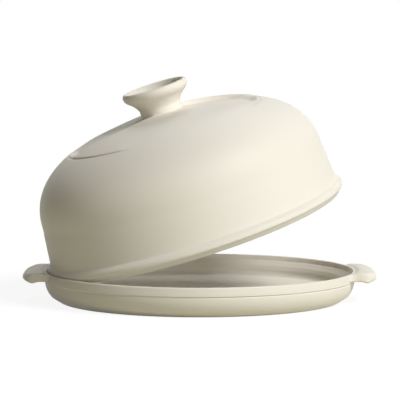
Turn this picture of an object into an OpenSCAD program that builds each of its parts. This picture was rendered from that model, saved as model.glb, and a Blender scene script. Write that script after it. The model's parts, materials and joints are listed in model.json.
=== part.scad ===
// Ceramic bread cloche: a low dish with two ears and a tall domed lid with a cup-shaped knob.
// The origin is the centre of the foot face, +X runs through the right ear, +Z is up. Millimetres.
// The lid is drawn tilted on the low side of its skirt, the way it stands in the dish at rest.

/* [Dish] */
// Radius of the foot ring where it meets the table
foot_r = 132; // [120:0.5:138]
// Width of the foot ring
foot_w = 8; // [4:0.5:14]
// Depth of the recess inside the foot ring
foot_recess = 2.5; // [1:0.25:4]
// Radius of the rounded belly of the dish
belly_r = 21; // [16:0.5:26]
// Largest radius of the rim band
rim_r = 146; // [140:0.5:152]
// Height where the rim band starts
band_z = 19.5; // [17:0.25:22]
// How far the rim band stands out of the belly
band_step = 0.8; // [0.3:0.1:1.5]
// Height of the crest of the lip
crest_z = 28.2; // [26:0.1:31]
// Radius of the rounding along the crest
crest_r = 1.3; // [1:0.1:1.8]
// Height of the gallery's outer corner, at the foot of the lip
seat_z = 23.2; // [22:0.1:25]
// Outer radius of the gallery, at the foot of the lip
seat_outer_r = 142.1; // [141:0.1:143]
// Inner radius of the gallery, where it slopes into the dish
seat_inner_r = 136.6; // [134:0.1:139]
// Fall of the gallery from its outer corner to its inner edge
seat_fall = 4.6; // [2:0.1:6]
// Height of the cooking floor
floor_z = 9; // [7:0.25:12]
// Radius of the fillet between floor and wall
floor_fillet = 7; // [3:0.5:9]

/* [Ears] */
// Distance from the dish axis to the centre of an ear's outline
ear_x = 144; // [138:0.5:150]
// Half width of an ear's outline, along X
ear_a = 21.5; // [16:0.5:26]
// Half length of an ear's outline, along Y
ear_b = 43; // [34:0.5:54]
// Exponent of an ear's outline, where 2 is an ellipse and more is squarer
ear_power = 3.4; // [2:0.1:5]
// Height of the highest line of an ear
ear_top = 29.4; // [28:0.1:31]
// Height of an ear's underside next to the belly
ear_under = 21; // [19:0.25:23]

/* [Lid] */
// Outer radius of the dome where it turns into the wall
dome_r = 136.3; // [130:0.1:138]
// Height above the skirt's lower edge where the dome starts
dome_z = 45.2; // [35:0.1:55]
// Rise of the dome above that height
dome_rise = 74; // [60:0.5:85]
// Exponent of the dome's superellipse, where 2 is a plain ellipse
dome_power = 2.4; // [2:0.05:3]
// Thickness of the wall
wall = 7; // [5:0.25:9]
// Outward lean of the wall above the flange, in degrees
lean = 5.5; // [0:0.25:8]
// Radius of the skirt's foot that stands on the seat
skirt_r = 138.6; // [138:0.1:140]
// Radius of the flange's rim
flange_r = 144.3; // [143:0.1:145]

/* [Swirl] */
// Radius of the groove that rounds off the swirl
swirl_r = 92.6; // [86:0.1:94]
// Direction of a ridge's outer end, in degrees
swirl_tip = 199; // [180:0.5:220]
// Turn of a ridge on its way inwards, in degrees per mm
swirl_pitch = 0.56; // [0.3:0.01:1]
// Height of a ridge above the plain dome
ridge_lift = 0.6; // [0.2:0.1:2]
// Width of the step from a ridge down into the scoop behind it
ridge_step = 2.2; // [1.5:0.1:5]
// Depth of the scoop's even floor behind a ridge
scoop = 2.6; // [1:0.1:3.5]
// How much deeper the scoop dips right behind a ridge
dip = 1.8; // [0:0.1:2.4]
// How far the swirl's outer edge stands proud above the groove
edge_lift = 0.7; // [0:0.1:1.5]
// Depth of the groove under that edge
groove = 0.45; // [0.2:0.05:1]
// Height of the collar that blends the swirl into the knob's neck
collar = 0.9; // [0.3:0.1:2]

/* [Knob] */
// Offset of the knob's axis from the lid's axis, along X
knob_dx = 2.5; // [0:0.1:4]
// Height above the skirt's lower edge of the socket that the neck is set into
socket_z = 115.6; // [115:0.1:116.5]
// Radius of the neck
neck_r = 19.6; // [16:0.1:24]
// Largest radius of the cup
cup_r = 31.2; // [26:0.1:36]
// Height of the top of the cup's lip
lip_z = 144.1; // [138:0.1:150]

/* [Rest pose] */
// Tilt of the lid away from closed, in degrees
tilt = 17.69; // [0:0.01:59]
// Direction in which the lid leans, in degrees from +X
lean_dir = 193.24; // [180:0.01:360]

/* [Hidden] */
// Height of the lid's skirt when closed, with its flange just clear of the crest
closed_z = crest_z - 4.6;
// Distance from the dish axis to the line the lid rocks on, and that line's height
pivot_r = 128.31;
pivot_z = 34.7;
pivot = [pivot_r * cos(lean_dir), pivot_r * sin(lean_dir), pivot_z];
tilt_axis = [-sin(lean_dir), cos(lean_dir), 0];
belly_cx = rim_r - band_step - belly_r;
foot_angle = -acos((foot_r - belly_cx) / belly_r);
foot_dz = -belly_r * sin(foot_angle);
glaze = [0.90, 0.88, 0.82];
// Radius where the plain lower dome ends and the swirl's cap starts
cap_r = 97.5;
// Turn that the innermost stretch of a ridge adds beside the neck, and the radius where it is full
inner_turn = 20;
inner_turn_r = 16;
// Width of the collar, of the swirl's outer shaping, and of the groove inside and outside its radius
collar_w = 4;
outward_w = 24;
groove_in = 1;
groove_out = 2.3;
// Where the groove and the proud edge start, are full, start to fade and end. Here and in edge_run,
// spill_run and bank_run the angles count from -X for the first ridge and from +X for the second.
groove_run = [-12, 0, 61, 72];
// Where the proud edge starts to grow and where it is full, and its least height
edge_run = [5, 30];
edge_least = 0.3;
// Angles behind a ridge over which the scoop runs out and the dip right behind the ridge runs out
scoop_run = [25, 145];
dip_run = [0, 55];
// Radii between which the dip grows to its full depth
dip_radii = [22, 52];
// Share of the scoop's depth that spills past the groove's radius, how far out, and where
spill_share = 0.2;
spill_w = 4.8;
spill_run = [-34, -22, -8, 0];
// Width of the scoop's outer bank far from a tip, just short of it and past it
bank_w = [42, 8, 20];
// Where that bank narrows, and where it widens, twice
bank_run = [-30, -6, 0, 18, 40, 80];
// Angles ahead of a ridge over which its lift and its front run out, and where the collar comes and goes
lift_run = [0, 60];
front_run = [60, 100];
collar_run = [0, 6, 100, 150];
// Rings of the cap, crowded along the knob's neck and the groove
cap_rings = [14, 17.5, 19.5, 21.5, 23.5, 26, 30, 35, 40, 45, 50, 55, 60, 65, 69, 73, 77, 80.5, 83.5,
    86, 88, 89.6, 90.8, 91.6, 92.6, 93.4, 94.2, 95.1, 96, 97.45];
// Columns of half a turn of the cap: angles ahead of a ridge, then shares of the step behind the next one
cap_ahead = concat([for (i = [0:36]) 4.5 * i], [166, 170]);
cap_behind = [1, 0.75, 0.5, 0.25];
cap_columns = len(cap_ahead) + len(cap_behind);

// Points of an arc from angle a0 to a1 around [cx, cz]
function arc(cx, cz, r, a0, a1, n) =
    [for (i = [0:n]) [cx + r * cos(a0 + (a1 - a0) * i / n), cz + r * sin(a0 + (a1 - a0) * i / n)]];

// Outer radius of the lid's wall at a height below the dome
function wall_r(z) = let (d = max(0, dome_z + 8.8 - z))
    dome_r + tan(lean) * (d < 10 ? d * d / 20 : d - 5);

// Points of the dome's superellipse, shrunk by t, from the wall up to angle a1
function dome(t, a1, n) = [for (i = [0:n]) let (a = a1 * i / n)
    [(dome_r - t) * pow(cos(a), 2 / dome_power), dome_z + (dome_rise - t) * pow(sin(a), 2 / dome_power)]];

// Places the lid from its own frame into the rest pose
module place_lid()
    translate(pivot)
    rotate(a = tilt, v = tilt_axis)
    translate(-pivot)
    translate([0, 0, closed_z])
    children();

// Outline of the dish's section, from the underside of the recess round to the cooking floor
module dish_section() {
    lip_r = rim_r - crest_r;
    wall_in = seat_inner_r - 2.4;
    polygon(concat(
        [[0, foot_recess], [foot_r - foot_w - 1.5, foot_recess], [foot_r - foot_w, 0.4]],
        [[foot_r - foot_w + 0.6, 0]],
        arc(belly_cx, foot_dz, belly_r, foot_angle, -3, 18),
        [[rim_r - band_step, band_z], [rim_r - 0.15, band_z + 0.5], [rim_r, band_z + 1.2]],
        arc(lip_r, crest_z - crest_r, crest_r, 0, 165, 12),
        [[seat_outer_r + 0.6, seat_z + 1.2], [seat_outer_r, seat_z + 0.1], [seat_outer_r - 0.5, seat_z]],
        [[seat_inner_r + 0.8, seat_z - seat_fall + 0.9], [seat_inner_r, seat_z - seat_fall]],
        arc(wall_in - floor_fillet, floor_z + floor_fillet, floor_fillet, -2, -90, 8),
        [[0, floor_z]]
    ));
}

// The dish: foot ring, rounded belly, rim band, lip, seat and cooking floor in one revolve
module base_dish()
    color(glaze)
    rotate_extrude($fn = 192)
    dish_section();

// Side view of an ear, from under its root round the lipped tip to its top
module ear_side() {
    tip = ear_x + ear_a;
    polygon(concat(
        [[120, ear_under + 0.4], [ear_x + 2, ear_under + 0.2], [ear_x + 8, ear_under - 0.1]],
        [[ear_x + 14, ear_under - 0.7], [ear_x + 17.5, ear_under - 1.9]],
        arc(tip - 1.6, ear_under - 0.6, 1.6, -110, 0, 6),
        arc(tip - 3, ear_top - 5.5, 3, 0, 60, 6),
        [[tip - 3.9, ear_top - 1.9], [tip - 6.5, ear_top - 1.2], [tip - 10.5, ear_top - 0.5]],
        [[tip - 14.5, ear_top], [tip - 18, ear_top], [120, ear_top]]
    ));
}

// Outline of an ear seen from above
module ear_plan()
    polygon([for (i = [0:95]) let (c = cos(i * 3.75), s = sin(i * 3.75))
        [ear_x + ear_a * sign(c) * pow(abs(c), 2 / ear_power),
            ear_b * sign(s) * pow(abs(s), 2 / ear_power)]]);

// One ear on the +X side: the side view cut to its outline and to the dish's own surface
module ear()
    difference() {
        intersection() {
            rotate([90, 0, 0])
                linear_extrude(height = 4 * ear_b, center = true)
                ear_side();
            linear_extrude(height = 60)
                ear_plan();
        }
        rotate_extrude($fn = 192)
            ear_cutter();
    }

// The dish's section widened to the axis, so that an ear ends on the dish's outer surface
module ear_cutter()
    polygon(concat(
        [[0, -1], [foot_r - 2, -1]],
        arc(belly_cx, foot_dz, belly_r, foot_angle, -3, 18),
        [[rim_r - band_step, band_z], [rim_r - 0.15, band_z + 0.5], [rim_r, band_z + 1.2]],
        [[rim_r, crest_z + 10], [0, crest_z + 10]]
    ));

// The ear on the left
module ear_left()
    color(glaze)
    mirror([1, 0, 0])
    ear();

// The ear on the right
module ear_right()
    color(glaze)
    ear();

// Smooth step from 0 at a to 1 at b
function ramp(x, a, b) = let (t = min(1, max(0, (x - a) / (b - a)))) t * t * (3 - 2 * t);

// Rises from 0 to 1 over the first two of four angles and falls back to 0 over the last two
function hill(x, run) = ramp(x, run[0], run[1]) * (1 - ramp(x, run[2], run[3]));

// Height of the plain dome at a radius
function dome_at(r) = dome_z + dome_rise * pow(1 - pow(r / dome_r, dome_power), 1 / dome_power);

// Direction of a ridge at a radius
function ridge(r) = swirl_tip + swirl_pitch * (swirl_r - r) + inner_turn * exp((inner_turn_r - r) / 5);

// Share of the swirl's outer shaping at a radius, 1 at the groove
function outward(r) = ramp(r, swirl_r - outward_w, swirl_r);

// Width of the step behind a ridge, wider towards the ridge's outer end
function step_at(r) = ridge_step * (1 + 2 * outward(r));

// Full depth of the scoop, at the angle behind to the next ridge
function deep(r, behind) =
    scoop * (1 - ramp(behind, scoop_run[0], scoop_run[1])) +
    dip * (1 - ramp(behind, dip_run[0], dip_run[1])) * ramp(r, dip_radii[0], dip_radii[1]);

// Share of the scoop's depth at a radius, where side is the angle from the nearer of -X and +X
function bank(r, side) =
    let (spill = spill_share * hill(side, spill_run),
        near = bank_w[0] + (bank_w[1] - bank_w[0]) * ramp(side, bank_run[0], bank_run[1]),
        width = near + (bank_w[2] - near) * ramp(side, bank_run[2], bank_run[3])
            + (bank_w[0] - bank_w[2]) * ramp(side, bank_run[4], bank_run[5]))
    r > swirl_r ? spill * (1 - ramp(r, swirl_r, swirl_r + spill_w)) :
    spill + (1 - spill) * ramp(swirl_r - r, 0, width);

// Height of the blend into the knob's neck, on the ridge's front only
function collar_at(r, az, ahead) =
    let (gap = max(0, norm([r * cos(az) - knob_dx, r * sin(az)]) - neck_r))
    collar * pow(max(0, 1 - gap / collar_w), 2) * hill(ahead, collar_run);

// Relief of the swirl above the plain dome, at an angle ahead of a ridge
function relief(r, ahead) =
    let (az = ridge(r) + ahead,
        side = az - 180 * floor((az - 90) / 180) - 180,
        along = hill(side, groove_run),
        edge = along * (edge_least + (edge_lift - edge_least) * ramp(side, edge_run[0], edge_run[1])),
        lift = ridge_lift * (1 - outward(r)),
        crest = lift + edge * outward(r),
        front = lift * (1 - ramp(ahead, lift_run[0], lift_run[1])) + edge * outward(r),
        bowl = -deep(r, 180 - ahead) * bank(r, side),
        down = min(1, (180 - ahead) * PI / 180 * r / step_at(r)),
        step = crest + (bowl - crest) * (1 - pow(1 - down, 2)),
        body = down < 1 ? step : bowl + front * (1 - ramp(ahead, front_run[0], front_run[1])))
    r > swirl_r ? bowl - groove * along * (1 - ramp(r, swirl_r, swirl_r + groove_out)) :
    body - (groove * along + body) * along * ramp(r, swirl_r - groove_in, swirl_r);

// Angle ahead of a ridge for each column of the cap at a radius
function columns(r) = let (step = step_at(r) / r * 180 / PI)
    concat(cap_ahead, [for (q = cap_behind) 180 - q * step]);

// One point of the cap, lifted off the plain dome along its normal
function cap_point(r, ahead, turn) =
    let (az = ridge(r) + ahead + turn,
        slope = (dome_at(r + 0.05) - dome_at(r - 0.05)) / 0.1,
        h = relief(r, ahead) + collar_at(r, az, ahead),
        out = r - h * slope / norm([1, slope]))
    [out * cos(az), out * sin(az), dome_at(r) + h / norm([1, slope])];

// The top of the dome with the swirl: two ridges winding out from the knob, scoops and grooves
module swirl_cap() {
    n = 2 * cap_columns;
    m = len(cap_rings);
    low = dome_at(cap_r) - 3;
    rim = [for (t = [0, 180], a = columns(cap_rings[m - 1])) ridge(cap_rings[m - 1]) + a + t];
    points = concat(
        [for (r = cap_rings, t = [0, 180], a = columns(r)) cap_point(r, a, t)],
        [for (az = rim) [cap_rings[m - 1] * cos(az), cap_rings[m - 1] * sin(az), low]],
        [[0, 0, dome_at(0) - 1]]
    );
    faces = concat(
        [for (k = [0:n - 1]) [(m + 1) * n, (k + 1) % n, k]],
        [for (j = [0:m - 2], k = [0:n - 1]) [j * n + k, j * n + (k + 1) % n, (j + 1) * n + (k + 1) % n]],
        [for (j = [0:m - 2], k = [0:n - 1]) [j * n + k, (j + 1) * n + (k + 1) % n, (j + 1) * n + k]],
        [for (k = [0:n - 1]) [(m - 1) * n + k, (m - 1) * n + (k + 1) % n, m * n + (k + 1) % n, m * n + k]],
        [[for (k = [0:n - 1]) m * n + k]]
    );
    polyhedron(points = points, faces = faces, convexity = 6);
}

// Outline of the lid's outside, from the skirt over flange and leaning wall to where the swirl's cap starts
module lid_outside() {
    outer = [for (p = dome(0, 88, 40)) if (p[0] > cap_r + 0.4) p];
    polygon(concat(
        [[0, 0], [skirt_r, 0], [skirt_r + 0.6, 0.2], [skirt_r + 1, 0.6]],
        [[flange_r - 1.4, 4.2], [flange_r - 0.95, 4.4], [flange_r - 0.55, 5.1], [flange_r, 6.8]],
        arc(flange_r - 0.8, 7.4, 0.8, 0, 70, 4),
        [[flange_r - 2.6, 9.4], [wall_r(13) + 1.2, 11.6], [wall_r(14), 13.8]],
        [for (i = [1:8]) let (z = 14 + (dome_z - 14) * i / 8) [wall_r(z), z]],
        [for (i = [1:len(outer) - 1]) outer[i]],
        [[cap_r, dome_at(cap_r)], [0, dome_at(cap_r)]]
    ));
}

// Outline of the hollow under the lid
module lid_inside() {
    inner = dome(wall, 88, 40);
    polygon(concat(
        [[0, -1], [132, -1], [132, 0], [131.6, 1.4], [132.2, 6]],
        [for (i = [1:8]) let (z = 8 + (dome_z - 8) * i / 8) [wall_r(max(14, z)) - wall, z]],
        [for (i = [1:len(inner) - 1]) inner[i]],
        [[0, dome_z + dome_rise - wall]]
    ));
}

// The lid's shell: wall and lower dome, the swirl's cap, the hollow and the socket for the knob
module dome_shell()
    color(glaze)
    place_lid()
    difference() {
        union() {
            rotate_extrude($fn = 192)
                lid_outside();
            swirl_cap();
        }
        rotate_extrude($fn = 192)
            lid_inside();
        translate([knob_dx, 0, socket_z])
            cylinder(h = 20, r = neck_r, $fn = 96);
    }

// Outline of the knob's section: neck, flared cup, lip and the cup's hollow
module knob_section()
    polygon(concat(
        [[0, socket_z], [neck_r, socket_z], [neck_r, lip_z - 19.3]],
        [[neck_r + 1.2, lip_z - 16.9], [neck_r + 3, lip_z - 14.3], [neck_r + 5, lip_z - 12.1]],
        [[cup_r - 4.4, lip_z - 10.2], [cup_r - 2.2, lip_z - 8.5], [cup_r - 0.7, lip_z - 6.5]],
        [[cup_r, lip_z - 4.2], [cup_r - 0.1, lip_z - 2.5], [cup_r - 0.8, lip_z - 1]],
        [[cup_r - 1.8, lip_z - 0.2], [cup_r - 2.8, lip_z], [cup_r - 3.8, lip_z - 0.5]],
        [[cup_r - 4.6, lip_z - 1.6], [cup_r - 6.4, lip_z - 5.5], [cup_r - 9, lip_z - 10.1]],
        [[cup_r - 12.6, lip_z - 14.5], [cup_r - 18, lip_z - 19.3]],
        [[cup_r - 23.2, lip_z - 22.1], [0, lip_z - 22.8]]
    ));

// The knob, with its open cup
module lid_knob()
    color(glaze)
    place_lid()
    translate([knob_dx, 0, 0])
    rotate_extrude($fn = 144)
    knob_section();

base_dish();
ear_left();
ear_right();
dome_shell();
lid_knob();
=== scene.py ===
"""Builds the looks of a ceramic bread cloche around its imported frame.

The dish, its two ears, the domed lid and the cup-shaped knob are turned and shaped with bmesh,
dressed in a cream satin glaze with bare clay where the dish stands and where the lid is set down,
and lit in a plain pale studio.
"""

import json
import logging
import math
from dataclasses import dataclass
from enum import Enum
from typing import Sequence

import bmesh
import bpy
from mathutils import Matrix, Vector

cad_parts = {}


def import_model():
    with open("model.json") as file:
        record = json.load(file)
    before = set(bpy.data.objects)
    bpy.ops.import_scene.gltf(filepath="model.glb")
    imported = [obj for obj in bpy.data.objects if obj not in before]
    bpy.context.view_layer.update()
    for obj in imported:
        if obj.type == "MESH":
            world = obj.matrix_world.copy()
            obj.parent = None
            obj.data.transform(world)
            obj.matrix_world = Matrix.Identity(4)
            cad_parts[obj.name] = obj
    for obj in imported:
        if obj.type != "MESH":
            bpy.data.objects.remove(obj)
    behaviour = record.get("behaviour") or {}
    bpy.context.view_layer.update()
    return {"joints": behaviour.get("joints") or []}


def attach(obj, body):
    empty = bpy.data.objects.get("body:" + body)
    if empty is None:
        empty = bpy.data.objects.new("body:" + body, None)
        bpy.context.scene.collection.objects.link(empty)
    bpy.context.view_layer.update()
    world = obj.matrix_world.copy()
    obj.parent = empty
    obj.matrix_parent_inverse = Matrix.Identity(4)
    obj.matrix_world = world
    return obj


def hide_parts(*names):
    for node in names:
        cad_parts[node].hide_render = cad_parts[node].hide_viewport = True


LOG = logging.getLogger("cloche")
MM = 0.001

Point = tuple[float, float]
Corner = tuple[float, float, float]
Colour = tuple[float, float, float]


def ramp(value: float, start: float, end: float) -> float:
    """Eases from 0 at one value to 1 at another, level beyond them.

    Args:
        value: the value to ease.
        start: where the rise begins.
        end: where it is complete.

    Returns:
        The eased share, from 0 to 1.
    """
    share = min(1.0, max(0.0, (value - start) / (end - start)))
    return share * share * (3.0 - 2.0 * share)


def hill(value: float, run: Sequence[float]) -> float:
    """Rises from 0 to 1 over a run's first two values and falls back to 0 over its last two."""
    return ramp(value, run[0], run[1]) * (1.0 - ramp(value, run[2], run[3]))


def arc(centre: Point, radius: float, start: float, end: float, steps: int) -> list[Point]:
    """Lays points along an arc.

    Args:
        centre: middle of the arc, radius and height in mm.
        radius: radius of the arc in mm.
        start: first angle in degrees.
        end: last angle in degrees.
        steps: number of stretches between the points.

    Returns:
        The points, both ends included.
    """
    angles = [math.radians(start + (end - start) * i / steps) for i in range(steps + 1)]
    return [(centre[0] + radius * math.cos(a), centre[1] + radius * math.sin(a)) for a in angles]


def rounded(corners: Sequence[Corner], steps: int = 6) -> list[Point]:
    """Rounds each inner corner of an open outline.

    Args:
        corners: radius, height and length of the rounding along each side, in mm.
        steps: number of stretches in each rounding.

    Returns:
        The points of the rounded outline.
    """
    line: list[Point] = [corners[0][:2]]
    for before, here, after in zip(corners, corners[1:], corners[2:]):
        middle = Vector(here[:2])
        sides = [Vector(before[:2]) - middle, Vector(after[:2]) - middle]
        reach = min(here[2], *(side.length * 0.49 for side in sides))
        if reach <= 0.0:
            line.append(here[:2])
            continue
        start, end = (middle + side.normalized() * reach for side in sides)
        for i in range(steps + 1):
            t = i / steps
            spot = start * (1 - t) ** 2 + middle * (2 * t * (1 - t)) + end * t**2
            line.append((spot.x, spot.y))
    line.append(corners[-1][:2])
    return line


def flowing(points: Sequence[Point], steps: int) -> list[Point]:
    """Draws a smooth curve through points.

    Args:
        points: the points that the curve passes, in mm.
        steps: number of stretches between two of them.

    Returns:
        The points of the curve.
    """
    spots = [Vector(point) for point in points]
    spots = [spots[0] * 2 - spots[1], *spots, spots[-1] * 2 - spots[-2]]
    line: list[Point] = []
    for a, b, c, d in zip(spots, spots[1:], spots[2:], spots[3:]):
        reach = (c - b).length
        leave = (c - a).normalized() * reach
        arrive = (d - b).normalized() * reach
        for i in range(steps):
            t = i / steps
            spot = (
                b * (2 * t**3 - 3 * t**2 + 1)
                + leave * (t**3 - 2 * t**2 + t)
                + c * (3 * t**2 - 2 * t**3)
                + arrive * (t**3 - t**2)
            )
            line.append((spot.x, spot.y))
    line.append(tuple(spots[-2]))
    return line


def turned(outline: Sequence[Point], steps: int) -> bmesh.types.BMesh:
    """Turns an outline about the upright axis, as on a wheel.

    Args:
        outline: radius and height of each point, in mm.
        steps: number of sectors in the full turn.

    Returns:
        A closed mesh with its faces pointing outwards, in metres.
    """
    bm = bmesh.new()
    verts = [bm.verts.new((radius * MM, 0.0, height * MM)) for radius, height in outline]
    edges = [bm.edges.new(pair) for pair in zip(verts, verts[1:])]
    bmesh.ops.spin(
        bm,
        geom=verts + edges,
        cent=(0.0, 0.0, 0.0),
        axis=(0.0, 0.0, 1.0),
        angle=math.tau,
        steps=steps,
        use_merge=True,
    )
    bmesh.ops.remove_doubles(bm, verts=bm.verts, dist=1e-6)
    bmesh.ops.dissolve_degenerate(bm, dist=1e-7, edges=bm.edges)
    bmesh.ops.recalc_face_normals(bm, faces=bm.faces)
    bm.normal_update()
    return bm


def shade(bm: bmesh.types.BMesh, sharp_from: float) -> None:
    """Smooths every face and keeps the edges that turn by more than an angle.

    Args:
        bm: the mesh to shade.
        sharp_from: smallest angle of a sharp edge, in degrees.
    """
    limit = math.radians(sharp_from)
    for face in bm.faces:
        face.smooth = True
    for edge in bm.edges:
        edge.smooth = edge.calc_face_angle(0.0) < limit


class Stand(Enum):
    """The body that a piece rides on."""

    DISH = "dish"
    LID = "lid"


class Side(Enum):
    """The side of the dish that an ear is on."""

    LEFT = -1
    RIGHT = 1


class Coat(Enum):
    """The place of each finish in a piece's material slots."""

    GLAZE = 0
    CLAY = 1


@dataclass(frozen=True)
class Glaze:
    """A satin cream glaze, thin enough to vary a little over the body."""

    name: str
    cream: Colour = (0.790, 0.738, 0.640)
    pale: Colour = (0.820, 0.772, 0.680)
    cloud_scale: float = 9.0
    grain_scale: float = 420.0
    peel_scale: float = 160.0
    roughness: float = 0.50
    specular: float = 0.22
    bump: float = 0.06

    def make(self) -> bpy.types.Material:
        """Makes the glaze.

        Returns:
            The material, patterned on Object coordinates.
        """
        material = bpy.data.materials.new(self.name)
        material.use_nodes = True
        nodes, links = material.node_tree.nodes, material.node_tree.links
        shader = nodes["Principled BSDF"]
        shader.inputs["IOR"].default_value = 1.5
        shader.inputs["Specular IOR Level"].default_value = self.specular

        place = nodes.new("ShaderNodeTexCoord").outputs["Object"]
        cloud = self._noise(nodes, links, place, self.cloud_scale, 3.0)
        grain = self._noise(nodes, links, place, self.grain_scale, 2.0)
        peel = self._noise(nodes, links, place, self.peel_scale, 2.0)

        tint = nodes.new("ShaderNodeMix")
        tint.data_type = "RGBA"
        tint.inputs["A"].default_value = (*self.cream, 1.0)
        tint.inputs["B"].default_value = (*self.pale, 1.0)
        links.new(cloud, tint.inputs["Factor"])
        links.new(tint.outputs["Result"], shader.inputs["Base Color"])

        gloss = nodes.new("ShaderNodeMapRange")
        gloss.inputs["To Min"].default_value = self.roughness - 0.05
        gloss.inputs["To Max"].default_value = self.roughness + 0.07
        links.new(grain, gloss.inputs["Value"])
        links.new(gloss.outputs["Result"], shader.inputs["Roughness"])

        skin = nodes.new("ShaderNodeBump")
        skin.inputs["Strength"].default_value = self.bump
        skin.inputs["Distance"].default_value = 0.0006
        links.new(peel, skin.inputs["Height"])
        links.new(skin.outputs["Normal"], shader.inputs["Normal"])
        return material

    @staticmethod
    def _noise(
        nodes: bpy.types.Nodes,
        links: bpy.types.NodeLinks,
        place: bpy.types.NodeSocket,
        scale: float,
        detail: float,
    ) -> bpy.types.NodeSocket:
        """Adds a noise pattern.

        Args:
            nodes: the material's nodes.
            links: the material's links.
            place: socket with the coordinates.
            scale: size of the pattern, in cells a metre.
            detail: octaves of detail.

        Returns:
            The socket with the pattern's value.
        """
        noise = nodes.new("ShaderNodeTexNoise")
        noise.inputs["Scale"].default_value = scale
        noise.inputs["Detail"].default_value = detail
        links.new(place, noise.inputs["Vector"])
        return noise.outputs["Fac"]


@dataclass(frozen=True)
class BareClay:
    """The buff stoneware body where it carries no glaze."""

    name: str
    buff: Colour = (0.62, 0.50, 0.36)
    sand: Colour = (0.72, 0.62, 0.48)
    grain_scale: float = 900.0
    roughness: float = 0.85

    def make(self) -> bpy.types.Material:
        """Makes the bare clay.

        Returns:
            The material, patterned on Object coordinates.
        """
        material = bpy.data.materials.new(self.name)
        material.use_nodes = True
        nodes, links = material.node_tree.nodes, material.node_tree.links
        shader = nodes["Principled BSDF"]
        shader.inputs["Roughness"].default_value = self.roughness
        shader.inputs["Specular IOR Level"].default_value = 0.3
        noise = nodes.new("ShaderNodeTexNoise")
        noise.inputs["Scale"].default_value = self.grain_scale
        noise.inputs["Detail"].default_value = 4.0
        place = nodes.new("ShaderNodeTexCoord")
        links.new(place.outputs["Object"], noise.inputs["Vector"])
        tone = nodes.new("ShaderNodeValToRGB")
        tone.color_ramp.elements[0].position = 0.35
        tone.color_ramp.elements[0].color = (*self.buff, 1.0)
        tone.color_ramp.elements[1].position = 0.65
        tone.color_ramp.elements[1].color = (*self.sand, 1.0)
        links.new(noise.outputs["Fac"], tone.inputs["Fac"])
        links.new(tone.outputs["Color"], shader.inputs["Base Color"])
        skin = nodes.new("ShaderNodeBump")
        skin.inputs["Strength"].default_value = 0.3
        skin.inputs["Distance"].default_value = 0.0004
        links.new(noise.outputs["Fac"], skin.inputs["Height"])
        links.new(skin.outputs["Normal"], shader.inputs["Normal"])
        return material


@dataclass
class Finishes:
    """The finishes that the pieces share."""

    dish_glaze: bpy.types.Material
    lid_glaze: bpy.types.Material
    clay: bpy.types.Material


def finish_piece(
    bm: bmesh.types.BMesh,
    name: str,
    stand: Stand,
    replaced: str,
    coats: Sequence[bpy.types.Material],
    sharp_from: float = 40.0,
) -> bpy.types.Object:
    """Turns a shaped mesh into a piece of the model.

    Args:
        bm: the shaped mesh, in the row frame and in metres. It is freed.
        name: name of the piece.
        stand: the body it rides on.
        replaced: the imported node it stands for.
        coats: the finishes, in the order of Coat.
        sharp_from: smallest angle of a sharp edge, in degrees.

    Returns:
        The piece.
    """
    shade(bm, sharp_from)
    mesh = bpy.data.meshes.new(name)
    bm.to_mesh(mesh)
    bm.free()
    for coat in coats:
        mesh.materials.append(coat)
    piece = bpy.data.objects.new(name, mesh)
    bpy.context.scene.collection.objects.link(piece)
    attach(piece, stand.value)
    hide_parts(replaced)
    LOG.info("%s: %d faces, rides on %s", name, len(mesh.polygons), stand.value)
    return piece


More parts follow.
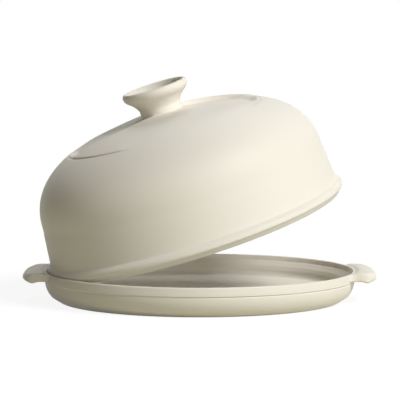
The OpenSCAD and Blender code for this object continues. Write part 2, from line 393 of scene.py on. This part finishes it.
@dataclass
class Dish:
    """The low round dish: foot, belly, rim band, lip, gallery and floor. Sizes in mm."""

    foot_radius: float = 132.0
    foot_width: float = 8.0
    recess: float = 2.5
    belly_centre: float = 124.2
    belly_radius: float = 21.0
    chamfer_height: float = 4.8
    band_height: float = 19.5
    rim_radius: float = 146.0
    crest: float = 28.2
    crest_round: float = 1.3
    gallery_out: Point = (142.1, 23.2)
    gallery_in: Point = (136.6, 18.6)
    wall_radius: float = 134.2
    floor: float = 9.0
    floor_round: float = 7.0
    sectors: int = 288

    def section(self) -> list[Point]:
        """Draws the section, from the underside round to the cooking floor.

        Returns:
            The outline's points.
        """
        foot_in = self.foot_radius - self.foot_width
        foot_reach = self.foot_radius - self.belly_centre
        drop = math.sqrt(self.belly_radius**2 - foot_reach**2)
        belly_from = -math.degrees(math.asin((drop - self.chamfer_height) / self.belly_radius))
        belly = arc((self.belly_centre, drop), self.belly_radius, belly_from, -3.0, 28)
        under = rounded(
            [
                (0.0, self.recess, 0.0),
                (foot_in - 2.2, self.recess, 1.2),
                (foot_in - 0.6, 0.0, 0.7),
                (self.foot_radius - 0.6, 0.0, 0.5),
                (*belly[0], 0.35),
                (*belly[1], 0.0),
            ]
        )
        band = self._band(belly[-1])
        lip_centre = (self.rim_radius - self.crest_round, self.crest - self.crest_round)
        lip = arc(lip_centre, self.crest_round, 0.0, 165.0, 14)
        inside = rounded(
            [
                (*lip[-1], 0.0),
                (self.gallery_out[0] + 0.2, self.gallery_out[1] + 0.2, 0.7),
                (self.gallery_out[0] - 0.6, self.gallery_out[1] - 0.1, 0.4),
                (*self.gallery_in, 1.2),
                (self.wall_radius, self.gallery_in[1] - 5.5, 0.0),
            ]
        )
        floor = arc(
            (self.wall_radius - self.floor_round, self.floor + self.floor_round),
            self.floor_round,
            -4.0,
            -90.0,
            10,
        )
        return under + belly[2:] + band + lip[1:] + inside[1:-1] + floor + [(0.0, self.floor)]

    def _band(self, start: Point) -> list[Point]:
        """Draws the small step up to the rim band.

        Args:
            start: where the belly ends.

        Returns:
            The outline's points from the belly to the lip.
        """
        corners = [
            (*start, 0.0),
            (self.rim_radius - 1.05, self.band_height - 0.3, 0.3),
            (self.rim_radius - 0.05, self.band_height + 0.4, 0.3),
            (self.rim_radius, self.band_height + 2.4, 0.5),
            (self.rim_radius, self.crest - self.crest_round, 0.0),
        ]
        return rounded(corners, 4)[1:]

    def build(self, finishes: Finishes) -> bpy.types.Object:
        """Turns the dish and leaves its foot ring bare.

        Args:
            finishes: the shared finishes.

        Returns:
            The dish.
        """
        bm = turned(self.section(), self.sectors)
        for face in bm.faces:
            bare = face.normal.z < -0.9 and face.calc_center_median().z < 0.4 * MM
            face.material_index = (Coat.CLAY if bare else Coat.GLAZE).value
        coats = (finishes.dish_glaze, finishes.clay)
        return finish_piece(bm, "dish_body", Stand.DISH, "base_dish", coats)


@dataclass
class Ear:
    """A lug stuck on the dish's side, flat on top with a soft outer end. Sizes in mm."""

    side: Side
    centre: float = 144.0
    reach: float = 21.49
    half_length: float = 43.0
    squareness: float = 3.4
    top: float = 29.4
    under: float = 21.4
    edge: float = 1.3
    end_edge: float = 6.0
    under_edge: float = 1.6
    end_under_edge: float = 7.8
    end_middle: float = 23.8
    lip: float = 2.0
    rim: float = 146.0
    root: float = 144.9
    root_drop: float = 1.5
    root_blend: float = 4.4
    fillet: float = 4.5
    stations: int = 150

    def top_at(self, spot: Vector) -> float:
        """Height of the top face at a place in plan, in mm."""
        fall = 3.2 * max(0.0, (spot.x - 151.0) / 14.5) ** 2
        blend = 1.0 - ramp(spot.length, self.rim - 0.4, self.rim - 0.4 + self.root_blend)
        return self.top - fall - self.root_drop * blend

    def under_at(self, spot: Vector) -> float:
        """Height of the underside at a place in plan, in mm."""
        return self.under - self.lip * ramp(spot.x, 148.0, 157.5)

    def edge_at(self, spot: Vector) -> float:
        """Rounding of the top edge, larger towards the outer end, in mm."""
        return self.edge + (self.end_edge - self.edge) * ramp(spot.x, 154.0, 164.0)

    def under_edge_at(self, spot: Vector) -> float:
        """Rounding of the lower edge, larger towards the outer end, in mm."""
        return self.under_edge + (self.end_under_edge - self.under_edge) * ramp(spot.x, 154.0, 164.0)

    def rim_angles(self) -> tuple[float, float]:
        """Finds where the ear's outline meets the rim.

        Returns:
            The outline's parameter there, and the direction from the dish's axis, in radians.
        """
        low, high = math.pi / 2, math.pi / 2 + 0.4
        for _ in range(40):
            middle = (low + high) / 2
            if self.plan(middle, 0.0).length > self.root + 0.2:
                low = middle
            else:
                high = middle
        spot = self.plan(low, 0.0)
        return low, math.atan2(spot.y, spot.x)

    def plan(self, turn: float, inset: float) -> Vector:
        """Gives a point of the ear's outline in plan, flared where it meets the rim.

        Args:
            turn: the outline's parameter in radians, 0 at the outer end.
            inset: how far inside the outer edge the line runs, in mm.

        Returns:
            The point in mm, on the +X side.
        """
        power = 2.0 / self.squareness
        c, s = math.cos(turn), math.sin(turn)
        x = self.centre + (self.reach - inset) * math.copysign(abs(c) ** power, c)
        y = (self.half_length - inset) * math.copysign(abs(s) ** power, s)
        spot = Vector((x, y))
        near = min(1.0, max(0.0, (spot.length - self.rim) / self.fillet))
        flare = self.fillet * (1.0 - math.sqrt(1.0 - (1.0 - near) ** 2))
        along = Vector((-y, x)).normalized() * math.copysign(flare, y)
        return spot + along

    def ring(self, turn: float, root: Vector) -> list[Vector]:
        """Lays one section of the ear, from its root's underside round its edge to its root's top.

        Args:
            turn: the outline's parameter in radians.
            root: the root's place in plan, in mm.

        Returns:
            The points in mm.
        """
        points = []
        rim = self.plan(turn, 0.0)
        edge = self.under_edge_at(rim)
        start = self.plan(turn, edge)
        for k in range(6):
            spot = root.lerp(start, k / 6)
            points.append(Vector((*spot, self.under_at(spot))))
        end_share = ramp(rim.x, 154.0, 164.0)
        low = self.under_at(start)
        rise = self.under_edge + (self.end_middle - low - self.under_edge) * end_share
        for k in range(9):
            a = math.radians(90.0 * k / 8)
            spot = self.plan(turn, edge * (1.0 - math.sin(a)))
            points.append(Vector((*spot, low + rise * (1.0 - math.cos(a)))))
        edge = self.edge_at(rim)
        high = self.top_at(self.plan(turn, edge))
        drop = self.edge + (high - self.end_middle - 0.1 - self.edge) * end_share
        for k in range(9):
            a = math.radians(90.0 * k / 8)
            spot = self.plan(turn, edge * (1.0 - math.cos(a)))
            points.append(Vector((*spot, high - drop * (1.0 - math.sin(a)))))
        start = self.plan(turn, edge)
        for k in range(1, 11):
            spot = start.lerp(root, k / 10)
            points.append(Vector((*spot, self.top_at(spot))))
        return points

    def build(self, finishes: Finishes) -> bpy.types.Object:
        """Draws the ear along the rim, section by section, and closes its two ends.

        Args:
            finishes: the shared finishes.

        Returns:
            The ear.
        """
        turn_end, root_end = self.rim_angles()
        rings = []
        for i in range(self.stations + 1):
            share = 2.0 * i / self.stations - 1.0
            angle = root_end * share
            root = Vector((math.cos(angle), math.sin(angle))) * self.root
            rings.append(self.ring(turn_end * share, root))
        bm = bmesh.new()
        made = bmesh.ops.create_circle(bm, cap_ends=False, segments=len(rings[0]), radius=1.0)
        loop = sorted(made["verts"], key=lambda v: math.atan2(v.co.y, v.co.x) % math.tau)
        for vert, spot in zip(loop, rings[0]):
            vert.co = spot * MM
        bmesh.ops.contextual_create(bm, geom=list(bm.edges))
        for ring in rings[1:]:
            edges = [bm.edges.get((a, b)) for a, b in zip(loop, loop[1:] + loop[:1])]
            grown = bmesh.ops.extrude_edge_only(bm, edges=edges)["geom"]
            fresh = {v for v in grown if isinstance(v, bmesh.types.BMVert)}
            loop = [
                next(e.other_vert(v) for e in v.link_edges if e.other_vert(v) in fresh)
                for v in loop
            ]
            for vert, spot in zip(loop, ring):
                vert.co = spot * MM
        bmesh.ops.contextual_create(
            bm, geom=[bm.edges.get((a, b)) for a, b in zip(loop, loop[1:] + loop[:1])]
        )
        if self.side is Side.LEFT:
            bmesh.ops.scale(bm, vec=(-1.0, 1.0, 1.0), verts=bm.verts)
        bmesh.ops.remove_doubles(bm, verts=bm.verts, dist=1e-6)
        bmesh.ops.recalc_face_normals(bm, faces=bm.faces)
        name = f"ear_{self.side.name.lower()}_lug"
        node = f"ear_{self.side.name.lower()}"
        coats = (finishes.dish_glaze,)
        return finish_piece(bm, name, Stand.DISH, node, coats, 60.0)


@dataclass(frozen=True)
class Swirl:
    """The relief pressed into the dome: two ridges that wind out from the knob.

    Sizes are in mm and angles in degrees. A ridge drops into a scoop behind it, and its facet in
    front ends on a fine groove. Angles named side count from -X for one ridge and from +X for the
    other.
    """

    radius: float = 92.6
    tip: float = 199.0
    pitch: float = 0.56
    inner_turn: float = 20.0
    inner_radius: float = 16.0
    lift: float = 0.6
    step: float = 2.2
    outward_width: float = 24.0
    scoop: float = 2.6
    scoop_run: Point = (25.0, 145.0)
    dip: float = 1.8
    dip_run: Point = (0.0, 55.0)
    dip_radii: Point = (22.0, 52.0)
    edge: float = 0.7
    edge_least: float = 0.3
    edge_run: Point = (5.0, 30.0)
    groove: float = 0.45
    groove_in: float = 1.0
    groove_out: float = 2.3
    groove_run: tuple[float, ...] = (-12.0, 0.0, 61.0, 72.0)
    spill: float = 0.2
    spill_width: float = 4.8
    spill_run: tuple[float, ...] = (-34.0, -22.0, -8.0, 0.0)
    bank_widths: Corner = (42.0, 8.0, 20.0)
    bank_run: tuple[float, ...] = (-30.0, -6.0, 0.0, 18.0, 40.0, 80.0)
    lift_run: Point = (0.0, 60.0)
    front_run: Point = (60.0, 100.0)
    collar: float = 0.9
    collar_width: float = 4.0
    collar_run: tuple[float, ...] = (0.0, 6.0, 100.0, 150.0)

    def ridge(self, radius: float) -> float:
        """Direction of the first ridge at a distance from the lid's axis, in degrees."""
        inner = self.inner_turn * math.exp((self.inner_radius - radius) / 5.0)
        return self.tip + self.pitch * (self.radius - radius) + inner

    def outward(self, radius: float) -> float:
        """Share of the outer shaping, 1 at the groove."""
        return ramp(radius, self.radius - self.outward_width, self.radius)

    def bank(self, radius: float, side: float) -> float:
        """Share of the scoop's depth that is left near the swirl's outer edge.

        Args:
            radius: distance from the lid's axis, in mm.
            side: angle from the nearer of -X and +X, in degrees.

        Returns:
            The share, from 0 to 1.
        """
        spill = self.spill * hill(side, self.spill_run)
        if radius > self.radius:
            return spill * (1.0 - ramp(radius, self.radius, self.radius + self.spill_width))
        far, least, past = self.bank_widths
        run = self.bank_run
        near = far + (least - far) * ramp(side, run[0], run[1])
        width = near + (past - near) * ramp(side, run[2], run[3])
        width += (far - past) * ramp(side, run[4], run[5])
        return spill + (1.0 - spill) * ramp(self.radius - radius, 0.0, width)

    def depth(self, radius: float, behind: float) -> float:
        """Full depth of the scoop at an angle behind a ridge, in mm."""
        floor = self.scoop * (1.0 - ramp(behind, *self.scoop_run))
        dip = self.dip * (1.0 - ramp(behind, *self.dip_run)) * ramp(radius, *self.dip_radii)
        return floor + dip

    def height(self, radius: float, ahead: float) -> float:
        """Height of the relief above the plain dome.

        Args:
            radius: distance from the lid's axis, in mm.
            ahead: angle from the ridge behind this place to it, in degrees, 0 to 180.

        Returns:
            The height in mm.
        """
        side = (self.ridge(radius) + ahead - 90.0) % 180.0 - 90.0
        along = hill(side, self.groove_run)
        bowl = -self.depth(radius, 180.0 - ahead) * self.bank(radius, side)
        if radius > self.radius:
            past = ramp(radius, self.radius, self.radius + self.groove_out)
            return bowl - self.groove * along * (1.0 - past)
        outward = self.outward(radius)
        grown = (self.edge - self.edge_least) * ramp(side, *self.edge_run)
        edge = along * (self.edge_least + grown) * outward
        lift = self.lift * (1.0 - outward)
        width = self.step * (1.0 + 2.0 * outward)
        down = math.radians(180.0 - ahead) * radius / width
        if down < 1.0:
            crest = lift + edge
            body = crest + (bowl - crest) * (1.0 - (1.0 - down) ** 2)
        else:
            front = lift * (1.0 - ramp(ahead, *self.lift_run)) + edge
            body = bowl + front * (1.0 - ramp(ahead, *self.front_run))
        inner = along * ramp(radius, self.radius - self.groove_in, self.radius)
        return body - (self.groove * along + body) * inner

    def collar_at(self, gap: float, ahead: float) -> float:
        """Height of the blend into the knob's neck at a distance from it, in mm."""
        near = max(0.0, 1.0 - max(0.0, gap) / self.collar_width)
        return self.collar * near**2 * hill(ahead, self.collar_run)


@dataclass
class Lid:
    """The domed lid, made closed and then tipped to where it stands. Sizes in mm."""

    swirl: Swirl
    rest: Matrix
    dome_radius: float = 136.3
    dome_foot: float = 45.2
    dome_rise: float = 74.0
    power: float = 2.4
    wall: float = 7.0
    lean: float = 5.5
    skirt_radius: float = 138.6
    flange_radius: float = 144.3
    neck: Point = (2.5, 19.6)
    twist_radii: Point = (14.0, 98.0)
    sectors: int = 384
    crowding: float = 0.38

    def wall_at(self, height: float) -> float:
        """Outer radius of the wall at a height below the dome, in mm."""
        down = max(0.0, self.dome_foot + 8.8 - height)
        bend = down * down / 20.0 if down < 10.0 else down - 5.0
        return self.dome_radius + math.tan(math.radians(self.lean)) * bend

    def crown_radii(self) -> list[float]:
        """Lists the radii of the dome's top, crowded beside the knob and along the groove."""
        inner = [2.0 * i for i in range(7)] + [13.0 + i for i in range(18)]
        middle = [31.5 + 1.5 * i for i in range(37)] + [87.0, 88.0, 89.0, 90.0, 90.7, 91.2]
        groove = [91.6 + 0.2 * i for i in range(8)] + [93.3 + 0.4 * i for i in range(5)]
        return inner + middle + groove + [95.5, 96.2, 97.0] + [98.0 + 1.6 * i for i in range(10)]

    def section(self) -> list[Point]:
        """Draws the section, from the top of the dome round its skirt to the cavity's top.

        Returns:
            The outline's points.
        """
        crown = []
        for radius in self.crown_radii():
            left = 1.0 - (radius / self.dome_radius) ** self.power
            crown.append((radius, self.dome_foot + self.dome_rise * left ** (1.0 / self.power)))
        shoulder = [p for p in self._vault(0.0, 43.0, 0.0, 22) if p[0] > crown[-1][0] + 0.6]
        walls = [(self.wall_at(z), z) for z in [45.0 - i * 2.6 for i in range(1, 12)]]
        flange = rounded(
            [
                (*walls[-1], 0.0),
                (self.wall_at(12.6) + 0.2, 12.4, 0.7),
                (self.flange_radius - 1.5, 10.4, 0.8),
                (self.flange_radius - 0.1, 8.6, 0.7),
                (self.flange_radius, 6.4, 0.5),
                (self.flange_radius - 0.5, 5.0, 0.4),
                (self.flange_radius - 1.8, 4.5, 0.35),
                (self.skirt_radius + 1.0, 0.7, 1.0),
                (self.skirt_radius, 0.0, 0.5),
                (132.0, 0.0, 1.0),
                (132.3, 7.0, 1.0),
                (self.wall_at(14.0) - self.wall, 14.0, 0.0),
            ],
            4,
        )
        inner_walls = [
            (self.wall_at(z) - self.wall, z) for z in [14.0 + i * 4.4 for i in range(1, 7)]
        ]
        vault = self._vault(self.wall, 2.8, 88.0, 30)
        apex = [(0.0, self.dome_foot + self.dome_rise - self.wall)]
        return crown + shoulder + walls[:-1] + flange + inner_walls + vault + apex

    def _vault(self, inset: float, start: float, end: float, steps: int) -> list[Point]:
        """Draws a stretch of the dome's curve.

        Args:
            inset: distance inside the outer surface, in mm.
            start: first angle in degrees, 0 at the foot of the dome.
            end: last angle in degrees.
            steps: number of stretches between the points.

        Returns:
            The curve's points.
        """
        power = 2.0 / self.power
        points = []
        for i in range(steps + 1):
            a = math.radians(start + (end - start) * i / steps)
            out = (self.dome_radius - inset) * math.cos(a) ** power
            points.append((out, self.dome_foot + (self.dome_rise - inset) * math.sin(a) ** power))
        return points

    def press(self, bm: bmesh.types.BMesh) -> None:
        """Twists the dome's sectors along the swirl and presses the relief into them.

        Args:
            bm: the turned lid, closed and upright, in metres.
        """
        spots = []
        for vert in bm.verts:
            radius = math.hypot(vert.co.x, vert.co.y) / MM
            angle = math.atan2(vert.co.y, vert.co.x)
            crowded = angle - self.crowding * math.sin(2.0 * angle)
            up = max(0.0, vert.co.z / MM - self.dome_foot) / self.dome_rise
            outside = up > 0.0 and (radius / self.dome_radius) ** self.power + up**self.power > 0.94
            held = min(self.twist_radii[1], max(self.twist_radii[0], radius))
            turn = crowded + math.radians(self.swirl.ridge(held if outside else self.twist_radii[1]))
            lift = 0.0
            if outside and radius < self.twist_radii[1]:
                ahead = math.degrees(crowded) % 180.0
                place = (radius * math.cos(turn) - self.neck[0], radius * math.sin(turn))
                lift = self.swirl.height(held, ahead)
                lift += self.swirl.collar_at(math.hypot(*place) - self.neck[1], ahead)
            outward = vert.normal.x * math.cos(angle) + vert.normal.y * math.sin(angle)
            reach = radius + lift * outward
            rise = vert.co.z + lift * vert.normal.z * MM
            spots.append((vert, (reach * math.cos(turn) * MM, reach * math.sin(turn) * MM, rise)))
        for vert, spot in spots:
            vert.co = spot
        bmesh.ops.recalc_face_normals(bm, faces=bm.faces)
        bm.normal_update()

    def build(self, finishes: Finishes) -> bpy.types.Object:
        """Turns the lid, presses the swirl and tips the lid to its rest.

        Args:
            finishes: the shared finishes.

        Returns:
            The lid.
        """
        bm = turned(self.section(), self.sectors)
        self.press(bm)
        for face in bm.faces:
            bare = face.normal.z < -0.9 and face.calc_center_median().z < 0.4 * MM
            face.material_index = (Coat.CLAY if bare else Coat.GLAZE).value
        bmesh.ops.transform(bm, matrix=self.rest, verts=bm.verts)
        coats = (finishes.lid_glaze, finishes.clay)
        return finish_piece(bm, "lid_dome", Stand.LID, "dome_shell", coats, 80.0)


@dataclass
class Knob:
    """The knob: a short neck that flares into an open cup. Sizes in mm, from the lid's skirt."""

    rest: Matrix
    offset: float = 2.5
    foot: float = 113.0
    neck: float = 19.6
    cup: float = 31.2
    lip: float = 144.05
    sectors: int = 192

    def section(self) -> list[Point]:
        """Draws the section, from inside the dome up the neck, over the lip and into the cup.

        Returns:
            The outline's points.
        """
        neck = [(self.neck, self.foot + 3.0 * i) for i in range(4)]
        flare = [(0.0, 19.3), (1.2, 16.9), (3.0, 14.3), (5.0, 12.1)]
        cup = [(4.4, 10.2), (2.2, 8.5), (0.7, 6.5), (0.0, 4.2), (0.1, 2.5), (0.8, 1.0), (1.8, 0.2)]
        lip = [(2.8, 0.0), (3.8, 0.5), (4.6, 1.6), (6.4, 5.5), (9.0, 10.1), (12.6, 14.5)]
        floor = [(18.0, 19.3), (23.2, 22.1), (27.5, 22.8)]
        points = neck + [(self.neck + out, self.lip - down) for out, down in flare]
        points += [(self.cup - in_, self.lip - down) for in_, down in cup + lip + floor]
        return [(0.0, self.foot)] + flowing(points, 5) + [(0.0, self.lip - 22.8)]

    def build(self, finishes: Finishes) -> bpy.types.Object:
        """Turns the knob and sets it on the tipped dome.

        Args:
            finishes: the shared finishes.

        Returns:
            The knob.
        """
        bm = turned(self.section(), self.sectors)
        place = self.rest @ Matrix.Translation((self.offset * MM, 0.0, 0.0))
        bmesh.ops.transform(bm, matrix=place, verts=bm.verts)
        coats = (finishes.lid_glaze,)
        return finish_piece(bm, "knob_cup", Stand.LID, "lid_knob", coats)


@dataclass(frozen=True)
class Lamp:
    """A far, soft lamp. Angles in degrees, as seen from the object."""

    name: str
    azimuth: float
    elevation: float
    spread: float
    level: float
    tint: Colour = (1.0, 1.0, 1.0)

    def hang(self) -> bpy.types.Object:
        """Hangs the lamp.

        Returns:
            The lamp.
        """
        light = bpy.data.lights.new(self.name, "SUN")
        light.angle = math.radians(self.spread)
        light.energy = self.level * math.pi
        light.color = self.tint
        holder = bpy.data.objects.new(self.name, light)
        around, up = math.radians(self.azimuth), math.radians(self.elevation)
        direction = Vector(
            (math.cos(up) * math.cos(around), math.cos(up) * math.sin(around), math.sin(up))
        )
        holder.location = direction * 3.0
        holder.rotation_mode = "QUATERNION"
        holder.rotation_quaternion = (-direction).to_track_quat("-Z", "Y")
        bpy.context.scene.collection.objects.link(holder)
        return holder


@dataclass
class Studio:
    """The pale floor, the soft lamps and the camera. Sizes in metres."""

    lamps: tuple[Lamp, ...] = (
        Lamp("key_softbox", -42.0, 43.0, 24.0, 0.83, (0.975, 0.985, 1.0)),
        Lamp("side_softbox", -16.0, 2.0, 36.0, 0.26, (0.90, 0.95, 1.0)),
        Lamp("front_softbox", -68.0, 4.0, 12.0, 0.17),
        Lamp("back_softbox", 93.0, 50.0, 24.0, 0.20),
    )
    floor_size: float = 12.0
    floor_bounce: Colour = (0.60, 0.58, 0.43)
    fill: Colour = (1.0, 0.99, 0.85)
    fill_strength: float = 0.02
    camera_distance: float = 2.5
    camera_elevation: float = 4.84
    camera_target: Corner = (0.0003, 0.0, 0.0939)
    lens: float = 240.0

    def floor(self) -> bpy.types.Object:
        """Lays the floor, white to the eye except in the object's shadow.

        Returns:
            The floor.
        """
        bm = bmesh.new()
        bmesh.ops.create_grid(bm, x_segments=1, y_segments=1, size=self.floor_size / 2)
        mesh = bpy.data.meshes.new("studio_floor")
        bm.to_mesh(mesh)
        bm.free()
        floor = bpy.data.objects.new("studio_floor", mesh)
        bpy.context.scene.collection.objects.link(floor)
        mesh.materials.append(self._floor_paint())
        return floor

    @staticmethod
    def _seen(nodes: bpy.types.Nodes, links: bpy.types.NodeLinks) -> bpy.types.NodeSocket:
        """Adds a value that is 1 for the eye and for reflections, and 0 for soft light.

        Args:
            nodes: the shader's nodes.
            links: the shader's links.

        Returns:
            The socket with the value.
        """
        path = nodes.new("ShaderNodeLightPath")
        either = path.outputs["Is Camera Ray"]
        for ray in ("Is Glossy Ray", "Is Transmission Ray"):
            larger = nodes.new("ShaderNodeMath")
            larger.operation = "MAXIMUM"
            links.new(either, larger.inputs[0])
            links.new(path.outputs[ray], larger.inputs[1])
            either = larger.outputs["Value"]
        return either

    def _floor_paint(self) -> bpy.types.Material:
        """Makes the floor's paint: pale, with a glow that only the eye and reflections see."""
        paint = bpy.data.materials.new("pale_floor")
        paint.use_nodes = True
        nodes, links = paint.node_tree.nodes, paint.node_tree.links
        shader = nodes["Principled BSDF"]
        shader.inputs["Roughness"].default_value = 0.9
        shader.inputs["Specular IOR Level"].default_value = 0.0
        seen = self._seen(nodes, links)
        tone = nodes.new("ShaderNodeMix")
        tone.data_type = "RGBA"
        tone.inputs["A"].default_value = (*self.floor_bounce, 1.0)
        tone.inputs["B"].default_value = (0.14, 0.14, 0.14, 1.0)
        links.new(seen, tone.inputs["Factor"])
        links.new(tone.outputs["Result"], shader.inputs["Base Color"])
        shader.inputs["Emission Color"].default_value = (1.0, 1.0, 1.0, 1.0)
        glow = nodes.new("ShaderNodeMath")
        glow.operation = "MULTIPLY"
        glow.inputs[1].default_value = 0.90
        links.new(seen, glow.inputs[0])
        links.new(glow.outputs["Value"], shader.inputs["Emission Strength"])
        return paint

    def sky(self) -> None:
        """Sets the room's low warm fill, white where it is looked at or mirrored."""
        world = bpy.data.worlds.new("studio_room")
        world.use_nodes = True
        bpy.context.scene.world = world
        nodes, links = world.node_tree.nodes, world.node_tree.links
        room = nodes["Background"]
        room.inputs["Color"].default_value = (*self.fill, 1.0)
        room.inputs["Strength"].default_value = self.fill_strength
        white = nodes.new("ShaderNodeBackground")
        white.inputs["Color"].default_value = (1.0, 1.0, 1.0, 1.0)
        white.inputs["Strength"].default_value = 1.0
        mix = nodes.new("ShaderNodeMixShader")
        links.new(self._seen(nodes, links), mix.inputs["Fac"])
        links.new(room.outputs["Background"], mix.inputs[1])
        links.new(white.outputs["Background"], mix.inputs[2])
        links.new(mix.outputs["Shader"], nodes["World Output"].inputs["Surface"])

    def camera(self) -> bpy.types.Object:
        """Sets the camera a long way off with a long lens, just above level.

        Returns:
            The camera.
        """
        data = bpy.data.cameras.new("view_camera")
        data.lens = self.lens
        data.sensor_width = 36.0
        data.clip_end = 100.0
        camera = bpy.data.objects.new("view_camera", data)
        rise = math.radians(self.camera_elevation)
        back = Vector((0.0, -math.cos(rise), math.sin(rise)))
        camera.location = Vector(self.camera_target) + back * self.camera_distance
        camera.rotation_euler = (math.pi / 2 - rise, 0.0, 0.0)
        bpy.context.scene.collection.objects.link(camera)
        bpy.context.scene.camera = camera
        return camera

    def build(self) -> None:
        """Sets up the room."""
        bpy.context.scene.view_settings.view_transform = "Standard"
        self.camera()
        self.floor()
        self.sky()
        for lamp in self.lamps:
            lamp.hang()
        LOG.info("studio: camera, floor, room and %d lamps", len(self.lamps))


def rest_of_lid(joint: dict, closed_height: float) -> Matrix:
    """Works out where the lid rests from the joint that tips it.

    Args:
        joint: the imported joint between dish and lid.
        closed_height: height of the closed lid's skirt, in metres.

    Returns:
        The matrix from the lid's own frame, closed and upright, to its rest.
    """
    pivot = Matrix.Translation(joint["pos_m"])
    tip = Matrix.Rotation(math.radians(-joint["range_deg"][0]), 4, Vector(joint["axis"]))
    return pivot @ tip @ pivot.inverted() @ Matrix.Translation((0.0, 0.0, closed_height))


def corners(box: tuple[Vector, Vector]) -> list[list[float]]:
    """Turns a box's two corners into plain lists of numbers."""
    return [list(corner) for corner in box]


def main() -> None:
    """Builds the model piece by piece."""
    logging.basicConfig(level=logging.INFO, format="%(name)s: %(message)s")
    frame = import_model()

    Studio().build()
    finishes = Finishes(
        dish_glaze=Glaze("cream_dish_glaze").make(),
        lid_glaze=Glaze("cream_lid_glaze", cloud_scale=6.0).make(),
        clay=BareClay("bare_buff_clay").make(),
    )
    rest = rest_of_lid(frame["joints"][0], 23.6 * MM)
    Dish().build(finishes)
    for side in Side:
        Ear(side).build(finishes)
    Lid(Swirl(), rest).build(finishes)
    Knob(rest).build(finishes)


if __name__ == "__main__":
    main()
